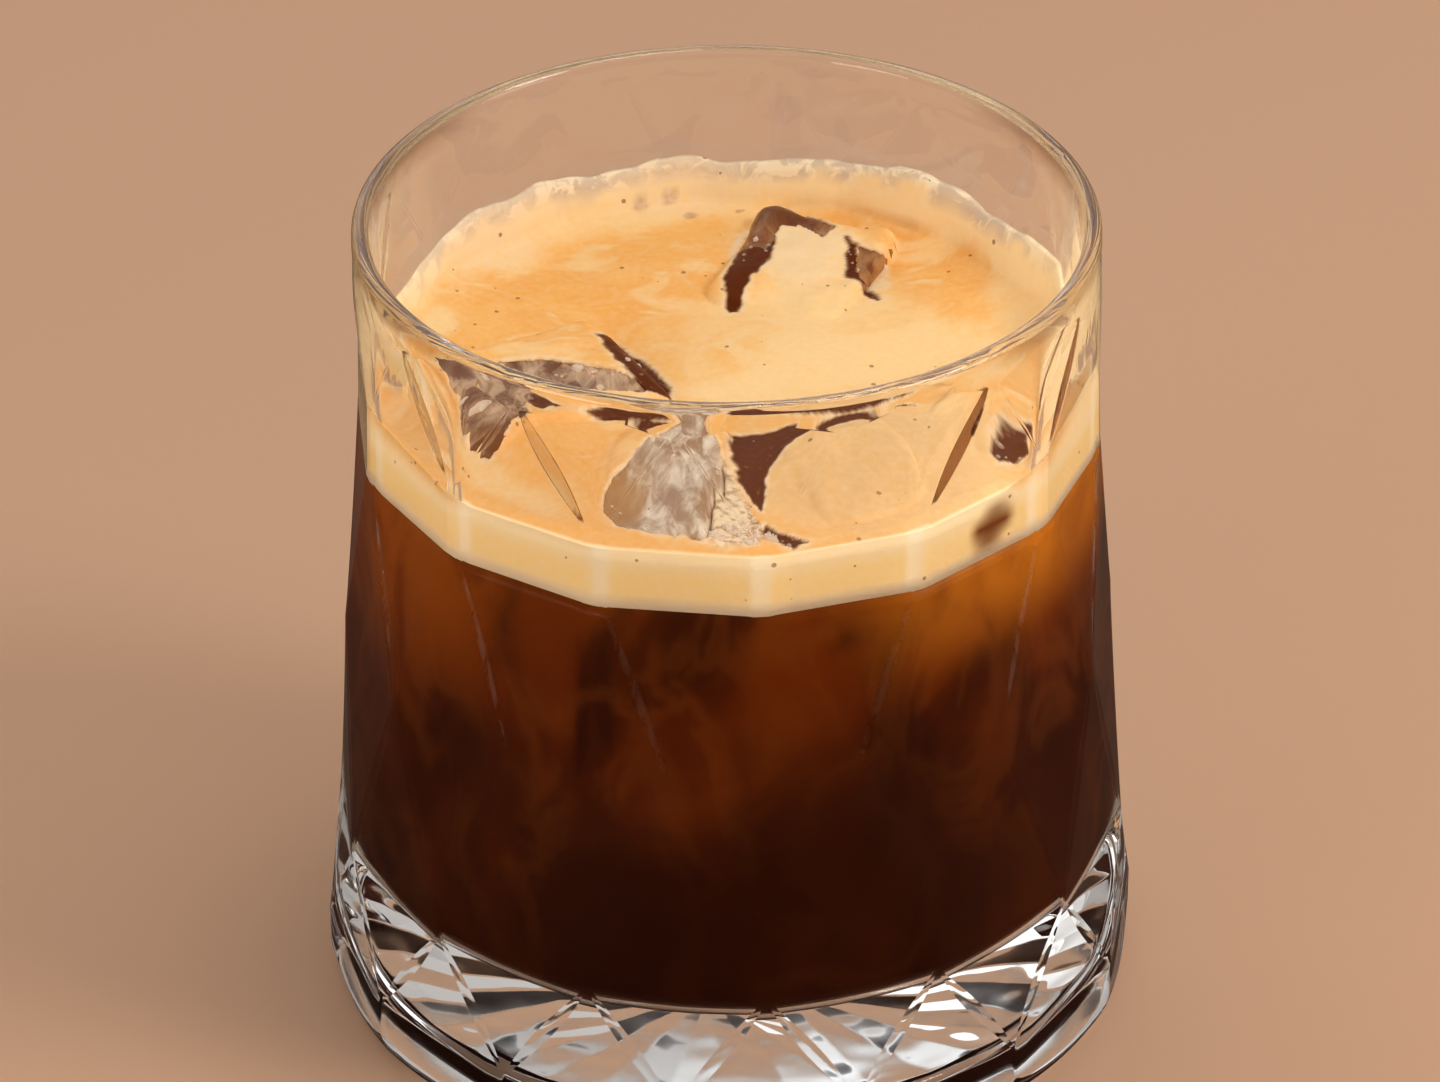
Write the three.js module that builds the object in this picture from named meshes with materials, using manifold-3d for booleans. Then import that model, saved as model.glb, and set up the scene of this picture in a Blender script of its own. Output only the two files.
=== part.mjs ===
// An iced espresso in a heavy cut-glass tumbler: glass, coffee, foam and five pieces of ice.
// Millimetres, +Z up. The origin is the middle of the foot, on the surface the glass stands on.
// The front of the glass faces -Y.

import * as THREE from 'three';
import { mergeVertices } from 'three/addons/utils/BufferGeometryUtils.js';
import Module from 'manifold-3d';

const library = await Module();
library.setup();

// Glass body
const glassHeight = 98;
const rimRadius = 42.5;
const rimWall = 2.05;
const footRadius = 44.8;
const footRound = 5;
const underRadius = 36;
const underDepth = 2;
const cavityRim = rimRadius - rimWall;
const cavityFoot = 38.3;
const cavityFloor = 15;
const floorRound = 6;
const floorCornerHeight = cavityFloor + floorRound;

// The inside is round at the floor and the rim, and has a soft flat between every two ridges:
// where the flats begin and are whole on the way up, and where they fade again
const flatsBegin = 26;
const flatsWhole = 58;
const flatsFade = 82;
const flatsEnd = 95;
const wallHeights = [26, 34, 42, 50, 58, 82];

// Cut pattern: upright ridges, with facets centred on the ridges and halfway between them
const ridgeCount = 14;
const ridgeTurn = THREE.MathUtils.degToRad(4.9);
const halfFacet = Math.PI / ridgeCount;
const edgeWidth = 1.1;
const leastEdge = 0.24;
const ridgeColumns = 3;
const rowsPerEdge = 3;
const footRows = 3;

// Corners of the pattern, from the foot up. side 0 is on a ridge, side 1 halfway to the next one
const cutCorners = [
  { height: 8, radius: 47.2, side: 1 },
  { height: 22.3, radius: 46, side: 0 },
  { height: 48, radius: 44.4, side: 1 },
  { height: 72.9, radius: 42.75, side: 0 },
  { height: 80.8, radius: 42.6, side: 0 },
  { height: 95, radius: 42.45, side: 1 },
];
const roundAbove = 80.8;

// Contents
const gap = 0.3;
const roundSides = 42;
const coffeeLevel = 70;
const foamLevel = 78.6;
const foamWallFront = 77.6;
const foamWallBack = 84.6;

// Pieces of ice: size of the block, its middle, and its turns about X, Y and Z in degrees
const iceBlocks = [
  { name: 'ice_back', size: [17, 21, 17], middle: [8.6, 22.4, 71.9], turn: [6, 4, -22], seed: 1 },
  { name: 'ice_left', size: [24, 22, 18], middle: [-21.3, -4.3, 71], turn: [-2, 2, 27], seed: 2 },
  { name: 'ice_front', size: [13, 23.5, 17], middle: [-7, -25, 71], turn: [2, -2, -7], seed: 3 },
  { name: 'ice_right', size: [14.5, 16.5, 18], middle: [14.2, -23.6, 69.9], turn: [3, -2, 22], seed: 4 },
  { name: 'ice_side', size: [12, 13, 14], middle: [28, -13, 72], turn: [6, 4, -24], seed: 5 },
];
const iceRound = 2.2;
const iceDivisions = 5;
const iceWaves = 0.3;
const iceMelt = 0.12;

const columnsPerSector = ridgeColumns + 3;
const lathedColumns = ridgeCount * columnsPerSector;

const { lerp, smoothstep } = THREE.MathUtils;

// Inside radius of the glass at a height above the rounded corner of the floor
function cavityRadius(height) {
  const share = (height - cavityFloor) / (glassHeight - cavityFloor);
  return lerp(cavityFoot, cavityRim, share * share * 0.4 + share * 0.6);
}

// Share by which the flats bring a point of the wall in, at an angle from a ridge
function flatFactor(angle, height) {
  const fromMiddle = THREE.MathUtils.euclideanModulo(angle, 2 * halfFacet) - halfFacet;
  const rising = smoothstep(height, flatsBegin, flatsWhole);
  const share = rising * (1 - smoothstep(height, flatsFade, flatsEnd));
  return lerp(1, Math.cos(halfFacet) / Math.cos(fromMiddle), share);
}

// Bring a lathe's points in to the flats. The lathe's axis is still Y, with a ridge on its seam
function pressFlats(geometry, firstPoint, perColumn) {
  const position = geometry.attributes.position;
  for (let index = 0; index < position.count; index += 1) {
    if (index % perColumn < firstPoint) {
      continue;
    }
    const x = position.getX(index);
    const y = position.getY(index);
    const z = position.getZ(index);
    const factor = flatFactor(Math.atan2(x, z), y);
    position.setXYZ(index, x * factor, y, z * factor);
  }
}

function arcPoints(centreX, centreY, radius, from, to, steps) {
  const points = [];
  for (let step = 0; step <= steps; step += 1) {
    const angle = lerp(from, to, step / steps);
    points.push(new THREE.Vector2(
      centreX + radius * Math.cos(angle),
      centreY + radius * Math.sin(angle),
    ));
  }
  return points;
}

// Floor, rounded corner and wall of the cavity, from the axis up to a level, drawn in by a margin
function cavityOutline(level, margin) {
  const corner = cavityRadius(floorCornerHeight);
  const points = [new THREE.Vector2(0, cavityFloor + margin)];
  points.push(...arcPoints(
    corner - floorRound,
    floorCornerHeight,
    floorRound - margin,
    -Math.PI / 2,
    0,
    4,
  ));
  for (const height of [...wallHeights.filter((value) => value < level), level]) {
    points.push(new THREE.Vector2(cavityRadius(height) - margin, height));
  }
  return points;
}

// Rows of the cut outside. Each row has its height, the radius of the facets' shared edge,
// how far that edge has gone from a ridge towards the next, and the width of the edge
function cutRows() {
  const rows = [];
  const widest = cutCorners[0];
  for (let step = 0; step < footRows; step += 1) {
    const turn = (step / footRows) * Math.PI / 2;
    rows.push({
      height: footRound * (1 - Math.cos(turn)),
      radius: lerp(footRadius, widest.radius, Math.sin(turn)),
      blend: Math.cos(turn),
      side: 1,
      width: leastEdge,
    });
  }
  for (let index = 0; index < cutCorners.length; index += 1) {
    const low = cutCorners[index];
    rows.push({ ...low, width: leastEdge, blend: 0, round: low.height >= roundAbove });
    const high = cutCorners[index + 1];
    if (!high || high.side === low.side) {
      continue;
    }
    for (let step = 1; step < rowsPerEdge; step += 1) {
      const share = step / rowsPerEdge;
      const round = low.height >= roundAbove;
      const edge = round ? arcEdge(low, high, share) : straightEdge(low, high, share);
      const width = leastEdge + (edgeWidth - leastEdge) * Math.sin(Math.PI * share);
      rows.push({ ...edge, width, blend: 0, round });
    }
  }
  return rows;
}

// A point on the straight line between two corners
function straightEdge(low, high, share) {
  const lowAngle = low.side * halfFacet;
  const highAngle = high.side * halfFacet;
  const across = lerp(low.radius * Math.sin(lowAngle), high.radius * Math.sin(highAngle), share);
  const out = lerp(low.radius * Math.cos(lowAngle), high.radius * Math.cos(highAngle), share);
  return {
    height: lerp(low.height, high.height, share),
    radius: Math.hypot(across, out),
    side: Math.atan2(across, out) / halfFacet,
  };
}

// A point on the line between two corners that keeps to the round wall
function arcEdge(low, high, share) {
  return {
    height: lerp(low.height, high.height, share),
    radius: lerp(low.radius, high.radius, share),
    side: lerp(low.side, high.side, share),
  };
}

// Angle from the ridge and radius of one column of a row. Every sector has the facet on its
// ridge, a narrow edge, the facet halfway to the next ridge, and a second narrow edge
function columnPlace(row, column) {
  const halfWidth = row.width / 2 / row.radius;
  const room = halfWidth * 1.5;
  const edge = THREE.MathUtils.clamp(row.side * halfFacet, room, halfFacet - room);
  if (column <= ridgeColumns) {
    const reach = edge - halfWidth;
    const angle = lerp(-reach, reach, column / ridgeColumns);
    return { angle, radius: row.round ? row.radius : facetRadius(row, edge, angle) };
  }
  const fromMiddle = halfFacet - edge - halfWidth;
  const nearSide = column === ridgeColumns + 1;
  const angle = nearSide ? halfFacet - fromMiddle : halfFacet + fromMiddle;
  return { angle, radius: facetRadius(row, halfFacet - edge, fromMiddle) };
}

// Radius at an angle from the middle of a facet, flat out to its reach or blended to round
function facetRadius(row, reach, angle) {
  const flat = row.radius * Math.cos(reach) / Math.cos(angle);
  return lerp(flat, row.radius, row.blend);
}

function makeGlass() {
  const rows = cutRows();
  const outline = [
    new THREE.Vector2(0, underDepth),
    new THREE.Vector2(underRadius - underDepth, underDepth),
    new THREE.Vector2(underRadius, 0),
  ];
  const firstCut = outline.length;
  for (const row of rows) {
    outline.push(new THREE.Vector2(row.radius, row.height));
  }
  const lipRadius = rimWall / 2;
  outline.push(...arcPoints(
    rimRadius - lipRadius,
    glassHeight - lipRadius,
    lipRadius,
    0,
    Math.PI,
    4,
  ));
  const inside = cavityOutline(glassHeight - 3 * lipRadius, 0);
  const firstInside = outline.length;
  outline.push(...inside.reverse());
  const geometry = new THREE.LatheGeometry(outline, lathedColumns);
  const position = geometry.attributes.position;
  const perColumn = outline.length;
  for (let column = 0; column <= lathedColumns; column += 1) {
    const sector = Math.floor(column / columnsPerSector);
    rows.forEach((row, index) => {
      const place = columnPlace(row, column % columnsPerSector);
      const angle = sector * 2 * halfFacet + place.angle;
      position.setXYZ(
        column * perColumn + firstCut + index,
        place.radius * Math.sin(angle),
        row.height,
        place.radius * Math.cos(angle),
      );
    });
  }
  pressFlats(geometry, firstInside, perColumn);
  return upright(geometry);
}

// A lathe turns about Y: stand it up along Z, with its seam on the ridge nearest the front
function upright(geometry) {
  geometry.rotateX(Math.PI / 2);
  geometry.rotateZ(ridgeTurn + Math.PI);
  return geometry;
}

// Gentle unevenness of the foam's top, higher round the ice and along the back wall
function foamHeight(x, y) {
  const radius = Math.hypot(x, y);
  const wall = smoothstep(radius, 33, cavityRadius(foamLevel));
  const back = smoothstep(y, -26, 24);
  const ripple = 0.35 * Math.sin(x * 0.19 + y * 0.11) + 0.3 * Math.sin(y * 0.23 - x * 0.13 + 1.4);
  const ragged = 0.7 * Math.sin(Math.atan2(y, x) * 9 + 0.6) * back;
  const edge = lerp(foamWallFront, foamWallBack + ragged, back);
  return lerp(foamLevel + ripple, edge, wall * wall);
}

function makeFoam() {
  const low = coffeeLevel + gap;
  const wall = cavityRadius(foamLevel) - gap;
  const outline = [
    new THREE.Vector2(0, low),
    new THREE.Vector2(cavityRadius(low) - gap, low),
    new THREE.Vector2(wall, foamWallFront),
  ];
  const rings = 6;
  for (let ring = 1; ring <= rings; ring += 1) {
    outline.push(new THREE.Vector2(wall * (1 - (ring / rings) ** 1.3), foamLevel));
  }
  const lathed = new THREE.LatheGeometry(outline, roundSides);
  pressFlats(lathed, 0, outline.length);
  const geometry = upright(lathed);
  const position = geometry.attributes.position;
  for (let index = 0; index < position.count; index += 1) {
    const height = position.getZ(index);
    if (height > low + 1) {
      position.setZ(index, foamHeight(position.getX(index), position.getY(index)));
    }
  }
  return geometry;
}

function makeCoffee() {
  const outline = cavityOutline(coffeeLevel, gap);
  outline.push(new THREE.Vector2(0, coffeeLevel));
  const lathed = new THREE.LatheGeometry(outline, roundSides);
  pressFlats(lathed, 0, outline.length);
  return upright(lathed);
}

// A block with rounded edges and melted, wavy faces. extra makes it larger all round
function makeIce(block, extra) {
  const half = block.size.map((side) => side / 2);
  const geometry = new THREE.BoxGeometry(...block.size, iceDivisions, iceDivisions, iceDivisions);
  const position = geometry.attributes.position;
  const point = new THREE.Vector3();
  const core = new THREE.Vector3();
  for (let index = 0; index < position.count; index += 1) {
    point.fromBufferAttribute(position, index);
    const sides = point.toArray();
    core.fromArray(sides.map((value, axis) => {
      const reach = half[axis] - iceRound;
      return THREE.MathUtils.clamp(value, -reach, reach);
    }));
    const away = point.clone().sub(core).normalize();
    const wave = iceWaves * Math.sin(point.x * 0.41 + block.seed * 2.1)
      * Math.sin(point.y * 0.37 + block.seed * 1.3)
      + iceWaves * Math.sin(point.z * 0.45 + block.seed * 0.7 + point.x * 0.2);
    point.copy(core).addScaledVector(away, iceRound + wave - iceMelt + extra);
    position.setXYZ(index, point.x, point.y, point.z);
  }
  const turn = block.turn.map((angle) => THREE.MathUtils.degToRad(angle));
  const pose = new THREE.Matrix4().makeRotationFromEuler(new THREE.Euler(...turn, 'ZYX'));
  pose.setPosition(...block.middle);
  geometry.applyMatrix4(pose);
  return geometry;
}

function toSolid(geometry) {
  const bare = geometry.clone();
  bare.deleteAttribute('normal');
  bare.deleteAttribute('uv');
  const merged = mergeVertices(bare, 1e-4);
  return new library.Manifold(new library.Mesh({
    numProp: 3,
    vertProperties: new Float32Array(merged.attributes.position.array),
    triVerts: new Uint32Array(merged.index.array),
  }));
}

function toGeometry(solid) {
  const mesh = solid.getMesh();
  const geometry = new THREE.BufferGeometry();
  geometry.setAttribute('position', new THREE.BufferAttribute(mesh.vertProperties, 3));
  geometry.setIndex(new THREE.BufferAttribute(mesh.triVerts, 1));
  geometry.computeVertexNormals();
  return geometry;
}

// Cut room for every piece of ice out of the coffee or the foam
function roundTheIce(geometry) {
  let solid = toSolid(geometry);
  for (const block of iceBlocks) {
    solid = solid.subtract(toSolid(makeIce(block, gap)));
  }
  return toGeometry(solid);
}

const finishes = {
  glass: { color: '#eef1ef', roughness: 0.03, metalness: 0, transparent: true, opacity: 0.3 },
  coffee: { color: '#2a0f03', roughness: 0.15, metalness: 0 },
  foam: { color: '#f2c283', roughness: 0.7, metalness: 0 },
  ice: { color: '#b7a08c', roughness: 0.12, metalness: 0, transparent: true, opacity: 0.6 },
};

function namedMesh(name, geometry, finish) {
  const mesh = new THREE.Mesh(geometry, new THREE.MeshStandardMaterial(finish));
  mesh.name = name;
  return mesh;
}

const espresso = new THREE.Group();
espresso.add(namedMesh('glass', makeGlass(), finishes.glass));
espresso.add(namedMesh('coffee', roundTheIce(makeCoffee()), finishes.coffee));
espresso.add(namedMesh('foam', roundTheIce(makeFoam()), finishes.foam));
for (const block of iceBlocks) {
  espresso.add(namedMesh(block.name, makeIce(block, 0), finishes.ice));
}

export default espresso;
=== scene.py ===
import math
from collections import namedtuple

import bmesh
import bpy
import numpy as np
from mathutils import Euler, Matrix, Vector, noise
from mathutils.bvhtree import BVHTree


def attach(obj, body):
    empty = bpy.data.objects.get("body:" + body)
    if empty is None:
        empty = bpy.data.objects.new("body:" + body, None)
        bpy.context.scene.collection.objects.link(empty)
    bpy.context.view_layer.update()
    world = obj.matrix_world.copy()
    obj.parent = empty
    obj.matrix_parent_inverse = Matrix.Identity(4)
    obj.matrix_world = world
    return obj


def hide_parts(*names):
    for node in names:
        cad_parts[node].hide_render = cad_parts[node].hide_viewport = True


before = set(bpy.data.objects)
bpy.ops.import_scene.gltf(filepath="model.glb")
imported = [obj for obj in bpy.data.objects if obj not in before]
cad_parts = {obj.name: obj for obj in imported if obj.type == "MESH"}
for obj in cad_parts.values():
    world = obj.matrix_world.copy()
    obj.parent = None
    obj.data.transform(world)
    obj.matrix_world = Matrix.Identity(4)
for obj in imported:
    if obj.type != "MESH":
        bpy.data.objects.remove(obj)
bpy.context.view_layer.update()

mm = 0.001


def srgb(red, green, blue):  # a colour given as 0 to 255, turned to linear light
    def lift(value):
        value = value / 255
        return value / 12.92 if value <= 0.04045 else ((value + 0.055) / 1.055) ** 2.4
    return (lift(red), lift(green), lift(blue), 1)


def blend(low, high, share):
    return low + (high - low) * share


def easeStep(value, low, high):
    share = np.clip((value - low) / (high - low), 0, 1)
    return share * share * (3 - 2 * share)


def arcSteps(count, first=0, reach=math.pi / 2):  # angles spaced evenly along an arc
    return [step / count * reach for step in range(first, count + 1)]


def linked(name, data):  # a new object in the scene
    obj = bpy.data.objects.new(name, data)
    bpy.context.scene.collection.objects.link(obj)
    return obj


# Camera

camera = {
    "distance": 1166.2 * mm,
    "lookAt": (-0.974 * mm, 0, 55.57 * mm),
    "elevation": 30.92,
    "roll": -0.36,
    "photoWidth": 1440,
    "focalPixels": 10117,  # focal length in the photo's pixels
    "sensor": 36,
    "clip": (0.05, 50),
}


def makeCamera():
    data = bpy.data.cameras.new("camera")
    data.sensor_width = camera["sensor"]
    data.lens = camera["focalPixels"] * camera["sensor"] / camera["photoWidth"]
    data.clip_start, data.clip_end = camera["clip"]
    tilt = math.radians(camera["elevation"])
    roll = math.radians(camera["roll"])
    back = Vector((0, -math.cos(tilt), math.sin(tilt)))
    side = Vector((1, 0, 0))
    up = Vector((0, math.sin(tilt), math.cos(tilt)))
    turned = side * math.cos(roll) + up * math.sin(roll)
    raised = up * math.cos(roll) - side * math.sin(roll)
    axes = Matrix((turned, raised, back)).transposed().to_4x4()
    place = Vector(camera["lookAt"]) + back * camera["distance"]
    obj = linked("camera", data)
    obj.matrix_world = Matrix.Translation(place) @ axes
    bpy.context.scene.camera = obj


makeCamera()
print("camera set")


# Mesh helpers

def makeObject(name, verts, faces, smooth=True):
    mesh = bpy.data.meshes.new(name)
    mesh.from_pydata([tuple(v) for v in verts], [], [tuple(int(i) for i in f) for f in faces])
    mesh.validate()
    if smooth:
        mesh.shade_smooth()
    return linked(name, mesh)


def fromShape(name, shape, smooth=True):  # an object made from a finished bmesh
    mesh = bpy.data.meshes.new(name)
    shape.to_mesh(mesh)
    shape.free()
    if smooth:
        mesh.shade_smooth()
    return linked(name, mesh)


# A closed skin through rings of points, from the bottom up. A ring of one point is a pole
def skinRings(rings):
    starts = np.cumsum([0] + [len(ring) for ring in rings])
    faces = []
    for row in range(len(rings) - 1):
        low, high = starts[row], starts[row + 1]
        many = max(len(rings[row]), len(rings[row + 1]))
        for step in range(many):
            after = (step + 1) % many
            if len(rings[row]) == 1:
                faces.append((low, high + after, high + step))
            elif len(rings[row + 1]) == 1:
                faces.append((low + step, low + after, high))
            else:
                faces.append((low + step, low + after, high + after, high + step))
    return np.concatenate(rings), faces


def bakeModifiers(obj):  # replaces an object's mesh with what its modifiers make
    graph = bpy.context.evaluated_depsgraph_get()
    mesh = bpy.data.meshes.new_from_object(obj.evaluated_get(graph))
    obj.modifiers.clear()
    old = obj.data
    mesh.name = obj.name
    obj.data = mesh
    bpy.data.meshes.remove(old)
    mesh.shade_smooth()


def cutAway(obj, other):
    modifier = obj.modifiers.new("cut", "BOOLEAN")
    modifier.operation = "DIFFERENCE"
    modifier.object = other
    modifier.solver = "MANIFOLD"
    bakeModifiers(obj)


def vertexValues(mesh, kind):  # the vertices' places or normals, one after the other
    values = np.empty(len(mesh.vertices) * 3)
    mesh.vertices.foreach_get(kind, values)
    return values


def resized(obj, name, extra):  # a copy moved out along its own normals
    mesh = obj.data.copy()
    mesh.vertices.foreach_set("co", vertexValues(mesh, "co") + vertexValues(mesh, "normal") * extra * mm)
    mesh.update()
    return linked(name, mesh)


def removeObject(obj):
    mesh = obj.data
    bpy.data.objects.remove(obj)
    bpy.data.meshes.remove(mesh)


def storeMask(obj, name, values):
    layer = obj.data.attributes.new(name, "FLOAT", "POINT")
    layer.data.foreach_set("value", np.asarray(values, dtype=np.float32))


def noiseField(x, y, scale, seed):
    return np.array([noise.noise(Vector((a * scale + seed, b * scale - seed, seed * 0.7)))
                     for a, b in zip(x, y)])


rayStart = 120 * mm  # above everything


def seenFromAbove(tree, x, y):  # place and normal of the surface there
    return tree.ray_cast(Vector((x * mm, y * mm, rayStart)), Vector((0, 0, -1)))[:2]


# Glass

glass = {
    "height": 98, "rimRadius": 42.5, "rimWall": 2.05, "lipFlat": 0.95,
    "footRadius": 44.8, "footRound": 5,
    "underRadius": 36, "underDepth": 2, "underStar": 0.2, "underWave": 0.1, "underWaveScale": 0.2,
    "cavityFoot": 38.3, "cavityBend": 0.4, "floor": 15, "floorRound": 6,
    "flatFrom": (26, 58), "flatTo": (82, 95),  # heights where the flats inside begin and end
    "cornerSoftness": 0.02,
    "ridges": 14, "ridgeTurn": 4.9,
    "corners": [  # height, radius, and how far from a ridge towards halfway to the next
        (8, 47.18, 1), (22.3, 46, 0), (48, 44.4, 1), (72.9, 42.75, 0.07), (80.8, 42.6, 0.07),
        (95, 42.45, 1),
    ],
    "roundAbove": 80.8,
    "edgeWidth": 2, "faintWidth": 0.5, "leastEdge": 0.3, "edgeRoom": 1.5, "grooveDepth": 0.06,
    "deepLeft": (-100, 0), "deepRight": (20, 100),  # turns where the cuts on one side are wide
    # above the middle height given here, the wide cut edges are coloured as painted shade
    "deepAbove": 46, "shadedCutsAbove": 80, "deepWider": 1.5,
    # painted shade: the lip's glass is coloured darker at its left and right sides, between these
    # heights and these distances from the middle
    "lipShadeHeights": (94.8, 96.6), "lipShadeSides": (26, 39),  # where the lip looks darker
    "ridgeColumns": 9, "edgeColumns": 5, "midColumns": 5, "rowsPerEdge": 11,
    "underShares": (0.05, 0.85), "underRows": 28, "underEdgeRows": 6, "footRows": 7,
    "lipRows": 16, "wallRows": 40, "floorRows": 10,
}
halfFacet = math.pi / glass["ridges"]
firstRidge = math.radians(glass["ridgeTurn"])
perSector = glass["ridgeColumns"] + 2 * glass["edgeColumns"] + glass["midColumns"]


def evenAngles():  # angles from the ridge of one sector's columns
    step = 2 * halfFacet / perSector
    return (np.arange(perSector) - glass["ridgeColumns"] / 2) * step


def evenTurns(finer=1):  # the same all round, from the -Y side towards +X
    sectors = np.arange(glass["ridges"]) * 2 * halfFacet + firstRidge
    turns = (sectors[:, None] + evenAngles()[None, :]).ravel()
    between = np.arange(finer) / finer * 2 * halfFacet / perSector
    return (turns[:, None] + between[None, :]).ravel()


def ringAt(turns, radius, height):
    radius = np.broadcast_to(radius, turns.shape)
    height = np.broadcast_to(height, turns.shape)
    return np.stack([radius * np.sin(turns), -radius * np.cos(turns), height], 1) * mm


def pole(height):
    return ringAt(np.zeros(1), 0, height)


# The inside is round at the rim and the floor, and has soft flats between them
def cavityRadius(height, turns):
    share = (height - glass["floor"]) / (glass["height"] - glass["floor"])
    bend = glass["cavityBend"]
    radius = blend(glass["cavityFoot"], glass["rimRadius"] - glass["rimWall"],
                   share * share * bend + share * (1 - bend))
    flatness = easeStep(height, *glass["flatFrom"]) * (1 - easeStep(height, *glass["flatTo"]))
    fromRidge = np.mod(turns - firstRidge, 2 * halfFacet)
    fromMid = np.minimum(np.abs(fromRidge - halfFacet), halfFacet - glass["cornerSoftness"])
    return radius * blend(1, math.cos(halfFacet) / np.cos(fromMid), flatness)


# A row of the cut outside: its height, the radius of the edge that two facets share, the edge's
# angle from the ridge and its width, how round the row is, whether the facet on the ridge is
# round, and how deep the groove along the edge is
cutRow = namedtuple("cutRow", "height radius edge width roundness isRound groove")


def cutRows():  # from the foot up
    rows = []
    corners = glass["corners"]
    for turn in arcSteps(glass["footRows"])[:-1]:
        rows.append(cutRow(glass["footRound"] * (1 - math.cos(turn)),
                           blend(glass["footRadius"], corners[0][1], math.sin(turn)),
                           halfFacet, glass["leastEdge"], math.cos(turn), False, 0))
    for low, high in zip(corners, corners[1:] + [None]):
        isRound = low[0] >= glass["roundAbove"]
        rows.append(cutRow(low[0], low[1], low[2] * halfFacet, glass["leastEdge"], 0, isRound, 0))
        if high is None or high[2] == low[2]:
            continue
        start, end = low[2] * halfFacet, high[2] * halfFacet
        for step in range(1, glass["rowsPerEdge"]):
            share = step / glass["rowsPerEdge"]
            across = blend(low[1] * math.sin(start), high[1] * math.sin(end), share)
            out = blend(low[1] * math.cos(start), high[1] * math.cos(end), share)
            radius, angle = math.hypot(across, out), math.atan2(across, out)
            if isRound:
                radius, angle = blend(low[1], high[1], share), blend(start, end, share)
            swell = math.sin(math.pi * share)
            width = blend(glass["leastEdge"], glass["edgeWidth"], swell)
            rows.append(cutRow(blend(low[0], high[0], share), radius, angle, width, 0, isRound, swell))
    return rows


# Each ridge has a cut edge on its left and one on its right. Some are wide, and some only faint
def isDeep(ridge, side):
    turn = (math.degrees(ridge * 2 * halfFacet) + glass["ridgeTurn"] + 180) % 360 - 180
    low, high = glass["deepLeft"] if side < 0 else glass["deepRight"]
    return low < turn < high


def edgeWidth(row, ridge, side):
    if row.height < glass["deepAbove"]:
        return row.width
    if isDeep(ridge, side if row.height > glass["shadedCutsAbove"] else -side):
        return row.width * glass["deepWider"]
    return blend(glass["leastEdge"], glass["faintWidth"], row.groove)


def cutRing(row, loosen):
    columns = glass["edgeColumns"]
    counts = [glass["ridgeColumns"], columns, glass["midColumns"], columns]
    turns, outs = [], []
    for ridge in range(glass["ridges"]):
        left, right, after = [edgeWidth(row, owner % glass["ridges"], side) / 2 / row.radius
                              for owner, side in ((ridge, -1), (ridge, 1), (ridge + 1, -1))]
        room = glass["edgeRoom"] * max(left, right, after)
        middle = min(max(row.edge, room), halfFacet - room)
        marks = [left - middle, middle - right, middle + right, 2 * halfFacet - middle - after,
                 2 * halfFacet - middle + after]
        angles = np.concatenate([np.linspace(low, high, count, endpoint=False)
                                 for low, high, count in zip(marks, marks[1:], counts)])
        angles = blend(angles, evenAngles(), loosen)
        fromRidge = np.abs(np.mod(angles + halfFacet, 2 * halfFacet) - halfFacet)
        onRidge = fromRidge <= middle
        reach = np.where(onRidge, middle, halfFacet - middle)
        away = np.where(onRidge, fromRidge, halfFacet - fromRidge)
        out = blend(row.radius * np.cos(reach) / np.cos(away), row.radius, row.roundness)
        if row.isRound:
            out = np.where(onRidge, row.radius, out)
        turns.append(angles + ridge * 2 * halfFacet + firstRidge)
        outs.append(out)
    outs = np.concatenate(outs)
    if row.groove > 0:
        cutGrooves(row, outs)
    return ringAt(np.concatenate(turns), outs, row.height)


def cutGrooves(row, outs):
    columns = glass["edgeColumns"]
    across = np.arange(columns + 1) / columns
    hollow = (1 - np.abs(2 * across - 1)) * glass["grooveDepth"] * row.groove
    for ridge in range(glass["ridges"]):
        for first, owner, side in ((glass["ridgeColumns"], ridge, 1),
                                   (perSector - columns, (ridge + 1) % glass["ridges"], -1)):
            strip = (ridge * perSector + first + np.arange(columns + 1)) % len(outs)
            depth = edgeWidth(row, owner, side) / row.width
            outs[strip] = blend(outs[strip[0]], outs[strip[-1]], across) - hollow * depth


# The hollow below is cut like a star, and a little wavy
def underHeight(radius, turns):
    share = radius / glass["underRadius"]
    sector = np.mod(turns / (2 * halfFacet), 1)
    star = (np.abs(sector - 0.5) * 4 - 1) * glass["underStar"] * share
    wavy = noiseField(radius * np.sin(turns), radius * np.cos(turns), glass["underWaveScale"], 2.2)
    return glass["underDepth"] + star + wavy * glass["underWave"]


def underRings(turns):
    depth = glass["underDepth"]
    rings = [pole(depth)]
    for share in np.linspace(*glass["underShares"], glass["underRows"]):
        radius = glass["underRadius"] * share
        rings.append(ringAt(turns, radius, underHeight(radius, turns)))
    for turn in arcSteps(glass["underEdgeRows"]):  # the hollow's edge
        rings.append(ringAt(turns, glass["underRadius"] - 2 * depth * math.cos(turn),
                            depth * (1 - math.sin(turn))))
    return rings


def lipRings(turns, below):
    lip = glass["rimWall"] / 2
    top = glass["height"] - lip
    rings = [ringAt(turns, glass["rimRadius"], blend(below, top, 0.5))]
    for turn in arcSteps(glass["lipRows"], reach=math.pi):
        across = math.copysign(abs(math.cos(turn)) ** glass["lipFlat"], math.cos(turn))
        rings.append(ringAt(turns, glass["rimRadius"] - lip + lip * across,
                            top + lip * abs(math.sin(turn)) ** glass["lipFlat"]))
    return rings


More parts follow.
